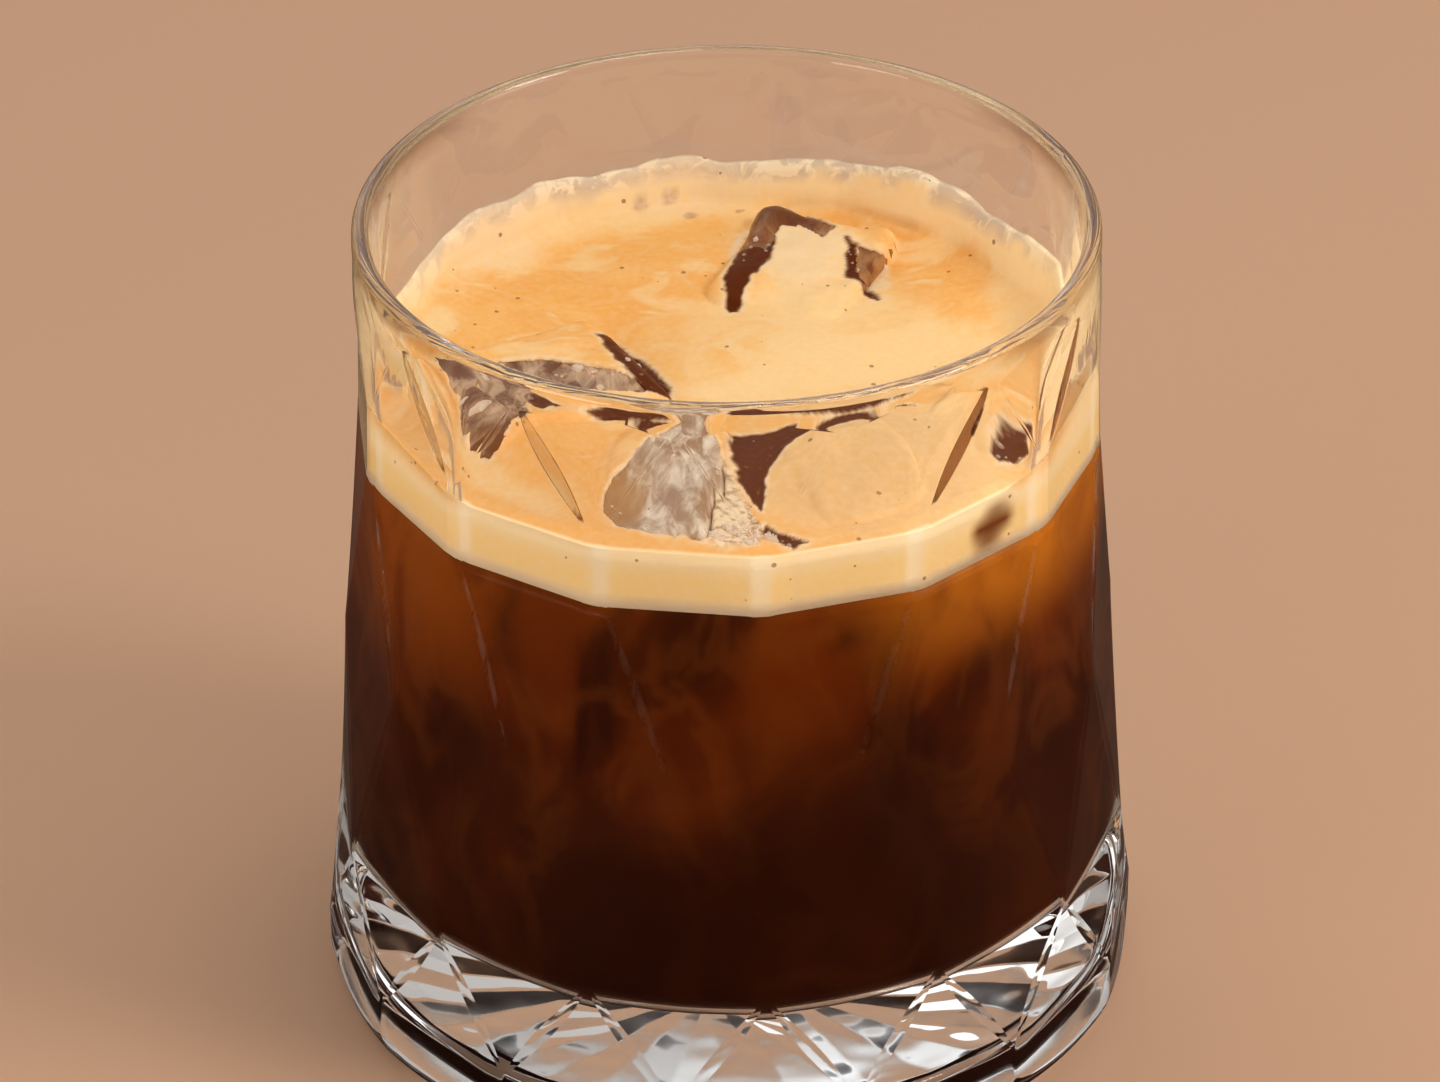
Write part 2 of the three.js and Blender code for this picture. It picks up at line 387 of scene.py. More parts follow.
def cavityRings(turns, top):
    corner = glass["floor"] + glass["floorRound"]
    rings = [ringAt(turns, cavityRadius(height, turns), height)
             for height in np.linspace(top, corner, glass["wallRows"])]
    for turn in arcSteps(glass["floorRows"], first=1):
        radius = cavityRadius(corner, turns) - glass["floorRound"] * (1 - math.cos(turn))
        rings.append(ringAt(turns, radius, corner - glass["floorRound"] * math.sin(turn)))
    return rings + [ringAt(turns, glass["cavityFoot"] * 0.4, glass["floor"]), pole(glass["floor"])]


def makeGlass():
    rows = cutRows()
    turns = evenTurns()
    rings = underRings(turns)
    firstCut = len(rings)
    rings += [cutRing(row, 1 if row is rows[-1] else row.roundness) for row in rows]
    lastCut = len(rings) - 1
    rings += lipRings(turns, rows[-1].height)
    rings += cavityRings(turns, glass["height"] - glass["rimWall"] / 2 - 1)
    obj = makeObject("tumbler", *skinRings(rings))
    markSharp(obj, rings, firstCut + glass["footRows"], lastCut)
    paintGlass(obj, rings, firstCut, rows)
    return obj


# The cut edges get painted shade, and so do the lip's left and right sides
def paintGlass(obj, rings, firstCut, rows):  # masks for the cut edges and the lip
    deep = [np.zeros(len(ring)) for ring in rings]
    frost = [np.zeros(len(ring)) for ring in rings]
    for number, row in enumerate(rows, firstCut):
        if row.height > glass["shadedCutsAbove"]:
            deep[number] = deepEdges(1, 1) * row.groove ** 0.5
        elif row.height > glass["deepAbove"]:
            frost[number] = deepEdges(-1, 2) * row.groove ** 0.5
    storeMask(obj, "deep", np.concatenate(deep))
    storeMask(obj, "frost", np.concatenate(frost))
    x, _, z = np.concatenate(rings).T / mm
    # painted shade on the lip's left and right sides
    storeMask(obj, "lip", easeStep(z, *glass["lipShadeHeights"]) * easeStep(np.abs(x), *glass["lipShadeSides"]))


# 1 on the columns inside the wide edges. The facing is 1 above shadedCutsAbove, and -1 below it, where
# the wide edges are on the ridge's other side
def deepEdges(facing, inset):
    mask = np.zeros(glass["ridges"] * perSector)
    for ridge in range(glass["ridges"]):
        for first, side in ((glass["ridgeColumns"], 1), (-glass["edgeColumns"], -1)):
            if isDeep(ridge, side * facing):
                strip = ridge * perSector + first + np.arange(inset, glass["edgeColumns"] + 1 - inset)
                mask[strip % len(mask)] = 1
    return mask


def markSharp(obj, rings, lowest, highest):  # the narrow edges between facets keep their own shade
    first = glass["ridgeColumns"]
    second = first + glass["edgeColumns"] + glass["midColumns"]
    marks = [0, first, first + glass["edgeColumns"], second]
    columns = [sector * perSector + mark for sector in range(glass["ridges"]) for mark in marks]
    starts = np.cumsum([0] + [len(ring) for ring in rings])
    wanted = {(starts[row] + column, starts[row + 1] + column)
              for row in range(lowest, highest) for column in columns}
    mesh = obj.data
    ends = np.empty(len(mesh.edges) * 2, dtype=np.int32)
    mesh.edges.foreach_get("vertices", ends)
    sharp = np.array([(min(a, b), max(a, b)) in wanted for a, b in ends.reshape(-1, 2)])
    mesh.attributes.new("sharp_edge", "BOOLEAN", "EDGE").data.foreach_set("value", sharp)


tumbler = makeGlass()
print("glass made")


# Ice

ice = {
    "round": 2.2, "divisions": 28,
    "waves": 0.3, "waveScale": (0.41, 0.37, 0.45), "waveShift": (2.1, 1.3, 0.7), "waveSlant": 0.2,
    "melt": 0.5, "meltScale": 0.16, "meltMean": 0.25,  # the broad melted hollows
    "ripple": 0.12, "rippleScale": 0.7,                # the fine ones
    "seedSteps": (17.3, 5.1, 9.7),
    "overlap": 0.06,  # how far drink and foam reach into the ice, so that no air shows between
    "blocks": [  # name, size, middle, turn in degrees, seed
        ("ice_back", (17, 21, 17), (8.6, 22.4, 71.9), (6, 4, -22), 1),
        ("ice_left", (24, 22, 18), (-21.3, -4.3, 71), (-2, 2, 27), 2),
        ("ice_front", (13, 23.5, 17), (-7, -25, 71), (2, -2, -7), 3),
        ("ice_right", (14.5, 16.5, 18), (14.2, -23.6, 69.9), (3, -2, 22), 4),
        ("ice_side", (12, 13, 14), (28, -13, 72), (6, 4, -24), 5),
    ],
}


def iceReach(point, seed):  # how far the melted surface is from the block's core
    swings = [value * scale + seed * shift
              for value, scale, shift in zip(point, ice["waveScale"], ice["waveShift"])]
    wave = ice["waves"] * math.sin(swings[0]) * math.sin(swings[1])
    wave += ice["waves"] * math.sin(swings[2] + point.x * ice["waveSlant"])
    offset = Vector([seed * step for step in ice["seedSteps"]])
    melt = ice["melt"] * (noise.noise(point * ice["meltScale"] + offset) - ice["meltMean"])
    melt += ice["ripple"] * noise.noise(point * ice["rippleScale"] + offset)
    return ice["round"] + wave + melt


def blockShape(size):  # a block of six even grids
    shape = bmesh.new()
    many = ice["divisions"]
    steps = np.linspace(-0.5, 0.5, many + 1)
    for axis in range(3):
        for side in (-0.5, 0.5):
            grid = {}
            for row, across in enumerate(steps):
                for column, along in enumerate(steps):
                    unit = [0, 0, 0]
                    unit[axis] = side
                    unit[(axis + 1) % 3] = across
                    unit[(axis + 2) % 3] = along
                    grid[row, column] = shape.verts.new([u * s for u, s in zip(unit, size)])
            for row in range(many):
                for column in range(many):
                    corners = [grid[row, column], grid[row + 1, column],
                               grid[row + 1, column + 1], grid[row, column + 1]]
                    shape.faces.new(corners if side > 0 else corners[::-1])
    bmesh.ops.remove_doubles(shape, verts=shape.verts, dist=0.001)
    return shape


def makeIce(name, size, middle, turn, seed):
    shape = blockShape(size)
    reach = [side / 2 - ice["round"] for side in size]
    for vert in shape.verts:
        core = Vector([max(-r, min(r, value)) for value, r in zip(vert.co, reach)])
        away = (vert.co - core).normalized()
        vert.co = core + away * iceReach(vert.co, seed)
    pose = Euler([math.radians(angle) for angle in turn], "XYZ").to_matrix().to_4x4()
    shape.transform(Matrix.Scale(mm, 4) @ Matrix.Translation(middle) @ pose)
    return fromShape(name + "_clear", shape)


icePieces = {block[0]: makeIce(*block) for block in ice["blocks"]}
bpy.context.view_layer.update()
print("ice made")


# Coffee

coffee = {
    "level": 70.02, "intoWall": 0.15,
    "cornerRows": 10, "sideRows": 30, "topShares": (0.75, 0.5, 0.25),
}


def makeCoffee():
    turns = evenTurns()
    corner = glass["floor"] + glass["floorRound"]
    bend = glass["floorRound"] + coffee["intoWall"]
    inner = glass["cavityFoot"] - glass["floorRound"]
    rings = [pole(corner - bend), ringAt(turns, inner * 0.5, corner - bend)]
    for turn in arcSteps(coffee["cornerRows"]):
        inner = cavityRadius(corner, turns) - glass["floorRound"]
        rings.append(ringAt(turns, inner + bend * math.sin(turn), corner - bend * math.cos(turn)))
    for height in np.linspace(corner, coffee["level"], coffee["sideRows"])[1:]:
        rings.append(ringAt(turns, cavityRadius(height, turns) + coffee["intoWall"], height))
    for share in coffee["topShares"]:
        rings.append(ringAt(turns, glass["cavityFoot"] * share, coffee["level"]))
    rings.append(pole(coffee["level"]))
    return makeObject("coffee_drink", *skinRings(rings))


coffeeDrink = makeCoffee()


# Foam

foam = {
    "level": 78.6, "under": 70, "rings": 110, "intoWall": 0.16,
    "middleRing": 20, "sideRows": (72, 74, 76), "nearTop": 79,
    "ripples": [  # depth, steps across and along, shift
        (0.35, 0.19, 0.11, 0), (0.3, -0.13, 0.23, 1.4),
    ],
    "wall": [  # how high the foam stands on the glass: turn from the front, height
        (0, 77.6), (50, 77.6), (80, 82), (107, 85.8), (131, 85.2), (149, 86.1), (161, 84.6),
        (173, 83.9), (185, 84.8), (203, 84.5), (227, 84.7), (239, 83.3), (257, 82.4), (285, 80),
        (315, 77.6), (360, 77.6),
    ],
    "wallRadius": 40, "wallUneven": 1.1, "unevenFrom": (-26, 24),  # and how uneven its edge is
    "wallNoise": [(1, 0.13, 5.5), (0.3, 0.32, 2.5)],  # depth, scale, seed
    "creep": [  # how it rises towards the glass: depth, start and end in shares of the radius, power
        (0.15, 0.82, 0.97, 1), (0.85, 0.94, 1, 2),
    ],
    "film": 0.32, "leastFilm": 0.12,  # thickness over coated ice
    "bareDepth": (2.4, 1.4),  # ice deeper than this stays covered
    "bareDrop": 0.35,  # how far the foam ends below the top of bare ice
    "ragged": [(0.35, 0.6, 3.1), (0.2, 1.6, 6.1)],  # unevenness of the outlines: depth, scale, seed
    "bare": [  # outlines where the ice shows
        ("ice_back", [(0.7, 25), (1.7, 31), (5.2, 33.8), (8.2, 32.9), (12.4, 28.8), (11.2, 26.8),
                      (8.6, 29.2), (6.4, 29.2), (5.2, 27.2), (4.6, 24.6)]),
        ("ice_back", [(15.4, 24.7), (18.3, 23.3), (18.3, 19), (16.6, 18), (15.4, 20.3)]),
        ("ice_left", [(-34.8, 1.4), (-31, -1.4), (-26, -4.4), (-20.8, -8.8), (-23.1, -9.8),
                      (-23.3, -14.8), (-26.6, -19), (-29.6, -14.8), (-30.2, -9.8), (-32.3, -6.8),
                      (-32.4, -3.8)]),
        ("ice_left", [(-26, 0.1), (-20, -0.1), (-14.5, -2.2), (-10.8, -5.2), (-9.2, -7.7), (-14, -7.6),
                      (-20, -5.2), (-24, -2)]),
        ("ice_front", [(-4.6, -14.4), (-7.4, -17.8), (-10, -22.8), (-12.8, -27.8), (-13.4, -30.5),
                       (-12.3, -33.5), (-9, -35.3), (-4, -36.6), (0, -37.8), (3, -37.2), (1.6, -33.1),
                       (0, -29.6), (-0.7, -24.8), (-1.8, -19.3), (-3.4, -14.8)]),
    ],
    "pools": [  # outlines where dark coffee lies in the gaps
        [(0.1, 12.5), (1.3, 13), (2.8, 18.3), (4.6, 20.9), (5.6, 23.8), (5.4, 27.2), (3.2, 29), (2, 27),
         (0.7, 22), (-0.3, 18)],
        [(13.9, 26.6), (15.3, 25), (15.2, 20.6), (17.8, 16.2), (17.3, 15.9), (14.8, 19), (13.8, 19.3)],
        [(-15, 6.6), (-13.4, 7.2), (-11.4, 4.6), (-8.9, 1.2), (-6.4, -4.6), (-6.6, -7.6), (-9.8, -7.8),
         (-11.6, -3.2), (-13.2, 1)],
        [(-23, -7.8), (-19, -9.8), (-13, -11.1), (-6.2, -12.5), (-6.6, -13.2), (-13, -12.8),
         (-19.4, -11.8), (-22.4, -10.8)],
        [(-32.3, -4.2), (-30.6, -5.4), (-30, -8.8), (-31.6, -7.8)],
        [(0.3, -16), (2.4, -14.6), (8, -13.6), (14, -11.6), (21.6, -9.2), (16.5, -12.4), (11, -15.1),
         (9, -18.1), (6.3, -21.1), (4.8, -24.6), (4.4, -28.5), (3.7, -31.3), (1.7, -29.7),
         (0.2, -26.6), (-0.1, -20.6)],
        [(4.4, -34), (6.2, -34.9), (8.4, -36.4), (7, -37.8), (5.2, -37), (3.9, -35.2)],
        [(28.6, -18.2), (29.7, -15.7), (31, -14.1), (32.9, -14.6), (33.2, -16.9), (31.4, -19.3),
         (29.3, -19.5)],
    ],
    "poolDepth": 0.25,
    "icy": [[(-2.4, -19), (-0.9, -24), (0.2, -29.4), (2.2, -32.6), (4.6, -34.6), (3, -37.6),
             (-1, -37.8), (-3, -34)]],  # outlines where the foam is full of broken ice
}


def distanceInside(x, y, outline):  # how far inside an outline each place is, less than 0 outside
    nearest = np.full(len(x), 1e6)
    inside = np.zeros(len(x), dtype=bool)
    for (ax, ay), (bx, by) in zip(outline, outline[1:] + outline[:1]):
        length = (bx - ax) ** 2 + (by - ay) ** 2
        share = np.clip(((x - ax) * (bx - ax) + (y - ay) * (by - ay)) / length, 0, 1)
        nearest = np.minimum(nearest, np.hypot(x - ax - share * (bx - ax), y - ay - share * (by - ay)))
        if ay != by:
            crossing = ax + (y - ay) * (bx - ax) / (by - ay)
            inside ^= ((ay > y) != (by > y)) & (x < crossing)
    return np.where(inside, nearest, -nearest)


def noiseSum(x, y, layers):
    return sum(depth * noiseField(x, y, scale, seed) for depth, scale, seed in layers)


def areaMask(x, y, outlines, soft=0.3):  # 1 inside the outlines and 0 outside, with an uneven edge
    ragged = noiseSum(x, y, foam["ragged"])
    mask = np.zeros(len(x))
    for outline in outlines:
        mask = np.maximum(mask, easeStep(distanceInside(x, y, outline) + ragged, -soft, soft))
    return mask


def blobsMask(x, y, blobs, soft):  # 1 inside the ellipses and 0 outside
    mask = np.zeros(len(x))
    for middle, halves, turn in blobs:
        angle = math.radians(turn)
        dx, dy = x - middle[0], y - middle[1]
        u = (dx * math.cos(angle) + dy * math.sin(angle)) / halves[0]
        v = (-dx * math.sin(angle) + dy * math.cos(angle)) / halves[1]
        mask = np.maximum(mask, 1 - easeStep(np.hypot(u, v), 1 - soft, 1 + soft))
    return mask


def wallHeight(turns):
    marks, heights = zip(*foam["wall"])
    x, y = foam["wallRadius"] * np.sin(turns), -foam["wallRadius"] * np.cos(turns)
    uneven = noiseSum(x, y, foam["wallNoise"])
    edge = np.interp(np.mod(np.degrees(turns), 360), marks, heights)
    return edge + foam["wallUneven"] * uneven * easeStep(y, *foam["unevenFrom"])


def foamBase(x, y, turns):
    near = np.hypot(x, y) / cavityRadius(foam["level"], turns)
    ripple = sum(depth * np.sin(x * across + y * along + shift)
                 for depth, across, along, shift in foam["ripples"])
    creep = sum(depth * easeStep(near, start, end) ** power
                for depth, start, end, power in foam["creep"])
    return blend(foam["level"] + ripple, wallHeight(turns), creep)


def iceTops(x, y):  # the height of each piece of ice over each place, or -1
    tops = {}
    for name, obj in icePieces.items():
        tree = BVHTree.FromObject(obj, bpy.context.evaluated_depsgraph_get())
        heights = np.full(len(x), -1.0)
        for index, (a, b) in enumerate(zip(x, y)):
            hit = seenFromAbove(tree, a, b)[0]
            if hit is not None:
                heights[index] = hit.z / mm
        tops[name] = heights
    return tops


def foamTop(x, y, turns):  # raised over coated ice, and lower where ice or coffee shows
    height = foamBase(x, y, turns)
    bareAll = np.zeros_like(height)
    topAll = np.zeros_like(height)
    for name, tops in iceTops(x, y).items():
        over = tops > 0
        bare = areaMask(x, y, [outline for piece, outline in foam["bare"] if piece == name])
        deep, shallow = foam["bareDepth"]
        bare = bare * easeStep(tops, height - deep, height - shallow)
        coated = np.maximum(height, tops + foam["film"] * (1 + noiseField(x, y, 0.35, 7.7)))
        shown = np.minimum(height, tops - foam["bareDrop"])
        height = np.where(over, blend(coated, shown, bare), height)
        bareAll = np.where(over, np.maximum(bare, bareAll), bareAll)
        topAll = np.maximum(topAll, np.where(bare > 0.05, 0, tops))
    pool = areaMask(x, y, foam["pools"], 0.5) * (1 - bareAll)
    return np.maximum(height - foam["poolDepth"] * pool,
                      np.minimum(height, topAll + foam["leastFilm"]))


def makeFoam():
    turns = evenTurns(finer=2)
    under = foam["under"]
    rings = [pole(under), ringAt(turns, foam["middleRing"], under)]
    for height in (under, *foam["sideRows"]):
        rings.append(ringAt(turns, cavityRadius(height, turns) + foam["intoWall"], height))
    reach = cavityRadius(foam["nearTop"], turns) + foam["intoWall"]
    topRings = [ringAt(turns, reach * share, 0)
                for share in np.linspace(1, 0, foam["rings"], endpoint=False)]
    topRings.append(pole(0))
    flat = np.concatenate(topRings) / mm
    x, y = flat[:, 0], flat[:, 1]
    flat[:, 2] = foamTop(x, y, np.arctan2(x, -y))
    outer = len(turns)
    reach = cavityRadius(flat[:outer, 2], turns) + foam["intoWall"]
    flat[:outer, 0] = reach * np.sin(turns)
    flat[:outer, 1] = -reach * np.cos(turns)
    rings += np.split(flat * mm, np.cumsum([len(ring) for ring in topRings])[:-1])
    return makeObject("foam_layer", *skinRings(rings))


foamLayer = makeFoam()
for name, piece in icePieces.items():
    inner = resized(piece, "inner", -ice["overlap"])
    cutAway(foamLayer, inner)
    cutAway(coffeeDrink, inner)
    removeObject(inner)
print("coffee and foam made")


# Bubbles and crumbs of ice

beads = {
    "seed": 7,
    "inset": 0.2,  # how far inside an outline they keep
    "bubbles": {
        "sizes": (0.14, 0.42), "uneven": 0.08, "sink": 0.35, "dents": 0,
        "spots": [("ice_left", 14), ("pools", 30), ("ice_front", 5), ("crumbs", 8)],
    },
    "chips": {
        "sizes": (0.25, 0.75), "uneven": 0.4, "sink": 0.3, "dents": 0.22,
        "spots": [("ice_front", 8), ("ice_left", 10), ("pools", 4), ("crumbs", 26)],
    },
    "crumbs": [(-3, -34.5), (0.5, -33), (3.5, -33.6), (6, -36.4), (2.5, -37.4), (-1.5, -37)],
}


def openSpots(name, count, draw):  # random places on the bare ice, or on the coffee in the gaps
    outlines = [outline for piece, outline in foam["bare"] if piece == name] or foam["pools"]
    if name == "crumbs":
        outlines = [beads["crumbs"]]
    spots = []
    while len(spots) < count:
        outline = outlines[draw.integers(len(outlines))]
        x, y = draw.uniform(np.min(outline, axis=0), np.max(outline, axis=0))
        if distanceInside(np.array([x]), np.array([y]), outline)[0] < beads["inset"]:
            continue
        hits = [seenFromAbove(tree, x, y) for tree in topTrees]
        spots.append(max((hit for hit in hits if hit[0] is not None), key=lambda hit: hit[0].z))
    return spots


def makeBeads(name, kind, draw):
    shape = bmesh.new()
    for piece, count in kind["spots"]:
        for spot, normal in openSpots(piece, count, draw):
            size = blend(*kind["sizes"], draw.random() ** 2) * mm
            widths = size * draw.uniform(1 - kind["uneven"], 1 + kind["uneven"], 3)
            turn = Euler(draw.uniform(0, 6.28, 3)).to_matrix().to_4x4()
            place = Matrix.Translation(spot - normal * size * kind["sink"])
            new = bmesh.ops.create_icosphere(shape, subdivisions=2, radius=1,
                                             matrix=place @ turn @ Matrix.Diagonal((*widths, 1)))
            if kind["dents"]:
                for vert in new["verts"]:
                    vert.co += Vector(draw.uniform(-kind["dents"], kind["dents"], 3)) * size
    return fromShape(name, shape, smooth=not kind["dents"])


topTrees = [BVHTree.FromObject(obj, bpy.context.evaluated_depsgraph_get())
            for obj in [foamLayer, *icePieces.values()]]
draw = np.random.default_rng(beads["seed"])
bubbles = makeBeads("ice_bubbles", beads["bubbles"], draw)
chips = makeBeads("ice_chips", beads["chips"], draw)
print("bubbles and chips made")


# Shader helpers

def feed(tree, node, inputs):  # joins or sets a node's inputs
    for key, value in inputs.items():
        if isinstance(value, bpy.types.NodeSocket):
            tree.links.new(value, node.inputs[key])
        else:
            node.inputs[key].default_value = value


def put(tree, kind, inputs=None, **settings):
    node = tree.nodes.new("ShaderNode" + kind)
    for key, value in settings.items():
        setattr(node, key, value)
    feed(tree, node, inputs or {})
    return node


def calc(tree, operation, first, second=0.0, third=0.0):
    return put(tree, "Math", {0: first, 1: second, 2: third}, operation=operation).outputs[0]


def times(tree, first, second):
    return calc(tree, "MULTIPLY", first, second)


def mixColours(tree, share, first, second):
    return put(tree, "Mix", {0: share, 6: first, 7: second}, data_type="RGBA").outputs[2]


def coats(tree, colour, layers):  # colours over each other, each with how much of it shows
    for share, tint in layers:
        colour = mixColours(tree, share, colour, tint)
    return colour


def spread(tree, value, low, high, newLow=0.0, newHigh=1.0):
    node = put(tree, "MapRange", {0: value, 1: low, 2: high, 3: newLow, 4: newHigh},
               interpolation_type="SMOOTHSTEP")
    return node.outputs[0]


def parts(tree, vector):  # its x, y and z
    return put(tree, "SeparateXYZ", {0: vector}).outputs


def distance(tree, place, middle):
    node = put(tree, "VectorMath", {0: place, 1: middle}, operation="DISTANCE")
    return node.outputs["Value"]


def millimetres(tree):  # a place on the object, in mm
    place = put(tree, "TexCoord").outputs["Object"]
    return put(tree, "VectorMath", {0: place, 3: 1000.0}, operation="SCALE").outputs[0]


def noiseOf(tree, place, scale, detail=4.0, rough=0.5, distortion=0.0):
    return put(tree, "TexNoise", {"Vector": place, "Scale": scale, "Detail": detail,
                                  "Roughness": rough, "Distortion": distortion}).outputs[0]


def cellsOf(tree, place, scale):
    return put(tree, "TexVoronoi", {"Vector": place, "Scale": scale, "Randomness": 1.0}).outputs


def stretched(tree, place, scales, shift=(0, 0, 0)):
    return put(tree, "Mapping", {"Vector": place, "Scale": scales, "Location": shift}).outputs[0]


def maskOf(tree, name):  # a mask stored on the mesh
    return put(tree, "Attribute", attribute_name=name).outputs["Fac"]


def bumpOf(tree, height, strength, depth):
    return put(tree, "Bump", {"Strength": strength, "Distance": depth, "Height": height}).outputs[0]


def tintsOf(look):  # a look's colours in linear light
    return {name: srgb(*value) for name, value in look.items() if isinstance(value, tuple)}


def newMaterial(name):
    material = bpy.data.materials.new(name)
    material.use_nodes = True
    return material, material.node_tree, material.node_tree.nodes["Principled BSDF"]


def newGroup(name, given, made):  # a node group with named inputs and outputs
    tree = bpy.data.node_groups.new(name, "ShaderNodeTree")
    for label, kind in given.items():
        tree.interface.new_socket(label, in_out="INPUT", socket_type="NodeSocket" + kind)
    for label, kind in made.items():
        tree.interface.new_socket(label, in_out="OUTPUT", socket_type="NodeSocket" + kind)
    return tree, tree.nodes.new("NodeGroupInput").outputs, tree.nodes.new("NodeGroupOutput")


def letLightIn(tree, shader, through):  # lamps reach what is behind the clear surface
    path = put(tree, "LightPath")
    clear = put(tree, "BsdfTransparent", {"Color": (through, through, through, 1)})
    mix = put(tree, "MixShader", {0: path.outputs["Is Shadow Ray"], 1: shader.outputs[0],
                                  2: clear.outputs[0]})
    feed(tree, tree.nodes["Material Output"], {"Surface": mix.outputs[0]})


# Effects that several finishes share

def makeStain():  # a patch of another colour round a place, with an uneven edge
    tree, given, made = newGroup("stain", {
        "Color": "Color", "Stain": "Color", "Place": "Vector", "Middle": "Vector",
        "Noise": "Float", "Wander": "Float", "Edge": "Float", "Core": "Float", "Strength": "Float",
    }, {"Color": "Color"})
    away = distance(tree, given["Place"], given["Middle"])
    away = calc(tree, "MULTIPLY_ADD", given["Noise"], given["Wander"], away)
    share = spread(tree, away, given["Edge"], given["Core"], 0.0, given["Strength"])
    feed(tree, made, {"Color": mixColours(tree, share, given["Color"], given["Stain"])})
    return tree


def makeFrozenGrain():  # cloudy streaks and long crystals
    tree, given, made = newGroup("frozen_grain", {
        "Place": "Vector", "Clear": "Color", "Cloudy": "Color",
    }, {"Color": "Color", "Streaks": "Float", "Relief": "Float"})
    place = given["Place"]
    streaks = noiseOf(tree, stretched(tree, place, (1, 0.5, 0.5)), 0.4, detail=6.0, rough=0.62,
                      distortion=0.6)
    crystals = cellsOf(tree, stretched(tree, place, (1, 0.45, 0.45)), 0.5)
    facet = parts(tree, crystals["Color"])[0]
    share = calc(tree, "MULTIPLY_ADD", facet, 0.16, calc(tree, "SUBTRACT", streaks, 0.08))
    colour = mixColours(tree, spread(tree, share, 0.34, 0.72), given["Clear"], given["Cloudy"])
    pits = noiseOf(tree, place, 0.5, detail=3.0)
    feed(tree, made, {"Color": colour, "Streaks": streaks,
                      "Relief": calc(tree, "MULTIPLY_ADD", facet, 0.5, pits)})
    return tree


def makeFineGrain():
    tree, given, made = newGroup("fine_grain", {
        "Place": "Vector", "Scale": "Float", "Dark": "Color", "Light": "Color",
    }, {"Color": "Color"})
    grain = noiseOf(tree, given["Place"], given["Scale"], detail=3.0)
    feed(tree, made, {"Color": mixColours(tree, grain, given["Dark"], given["Light"])})
    return tree


stain, frozenGrain, fineGrain = makeStain(), makeFrozenGrain(), makeFineGrain()


def useGroup(tree, group, values):
    return put(tree, "Group", values, node_tree=group).outputs


# Finishes

glassLook = {
    "ior": 1.5, "shine": 0.85, "lightThrough": 0.94,
    # painted shade on the cut edges: dark lines, paler on the glass's left side and brown on its right
    "cutEdgeShade": (84, 62, 50), "cutShadeLeft": (212, 208, 208), "cutShadeRight": (112, 74, 52),
    # colour of the painted shade on the lip's sides
    "lip": (176, 158, 142),
}


def clearGlass():
    material, tree, shader = newMaterial("clear_glass")
    tints = tintsOf(glassLook)
    place = millimetres(tree)
    deep, frost, lip = [maskOf(tree, name) for name in ("deep", "frost", "lip")]
    streaks = noiseOf(tree, stretched(tree, place, (1, 1, 0.2)), 0.9, detail=3.0)
    uneven = calc(tree, "MULTIPLY_ADD", streaks, 0.5, calc(tree, "SUBTRACT", deep, 0.25))
    # painted shade on the cut edges, pale on the left side of the glass and brown on the right
    inside = mixColours(tree, spread(tree, parts(tree, place)[0], -4.0, 8.0), tints["cutShadeLeft"],
                        tints["cutShadeRight"])
    cut = mixColours(tree, spread(tree, uneven, 0.5, 0.75), tints["cutEdgeShade"], inside)
    # painted shade on the cut edges and on the lip's sides
    colour = coats(tree, (1, 1, 1, 1), [(spread(tree, deep, 0.3, 0.5), cut), (lip, tints["lip"])])
    worn = times(tree, spread(tree, frost, 0.3, 0.8), spread(tree, streaks, 0.3, 0.6, 0.1, 0.5))
    feed(tree, shader, {
        "Base Color": colour, "Roughness": worn, "IOR": glassLook["ior"], "Transmission Weight": 1,
        "Specular Tint": (glassLook["shine"], glassLook["shine"], glassLook["shine"], 1),
        "Normal": bumpOf(tree, noiseOf(tree, place, 0.07, detail=2.0), 0.08, 0.001),
    })
    letLightIn(tree, shader, glassLook["lightThrough"])
    return material


iceLooks = {
    # colour of the clear ice, of the cloudy parts and of a stain, where the stain is and how far
    # it reaches, and how much light goes through
    "ice_back": ((140, 84, 44), (196, 146, 98), (104, 50, 18), (7, 33, 79), 5, 0.2),
    "ice_left": ((122, 76, 42), (214, 178, 142), (112, 62, 28), (-33, 0, 77), 6, 0.15),
    "ice_front": ((172, 136, 104), (240, 222, 198), (184, 132, 72), (-13.4, -29, 77), 5, 0.12),
    "ice_right": ((150, 100, 60), (210, 170, 124), (140, 90, 50), (14, -24, 77), 6, 0.2),
    "ice_side": ((132, 80, 42), (190, 140, 94), (120, 70, 34), (28, -13, 78), 6, 0.2),
}


def meltingIce(name):
    clear, cloudy, stained, middle, reach, through = iceLooks[name]
    material, tree, shader = newMaterial(name + "_finish")
    place = millimetres(tree)
    grain = useGroup(tree, frozenGrain, {"Place": place, "Clear": srgb(*clear), "Cloudy": srgb(*cloudy)})
    patch = useGroup(tree, stain, {
        "Color": grain["Color"], "Stain": srgb(*stained), "Place": place, "Middle": middle,
        "Noise": grain["Streaks"], "Wander": 3.0, "Edge": reach + 3.0, "Core": reach, "Strength": 0.8,
    })
    feed(tree, shader, {
        "Base Color": patch["Color"], "Roughness": 0.12, "IOR": 1.31, "Transmission Weight": through,
        "Normal": bumpOf(tree, grain["Relief"], 0.4, 0.0004),
    })
    letLightIn(tree, shader, 0.9)
    return material


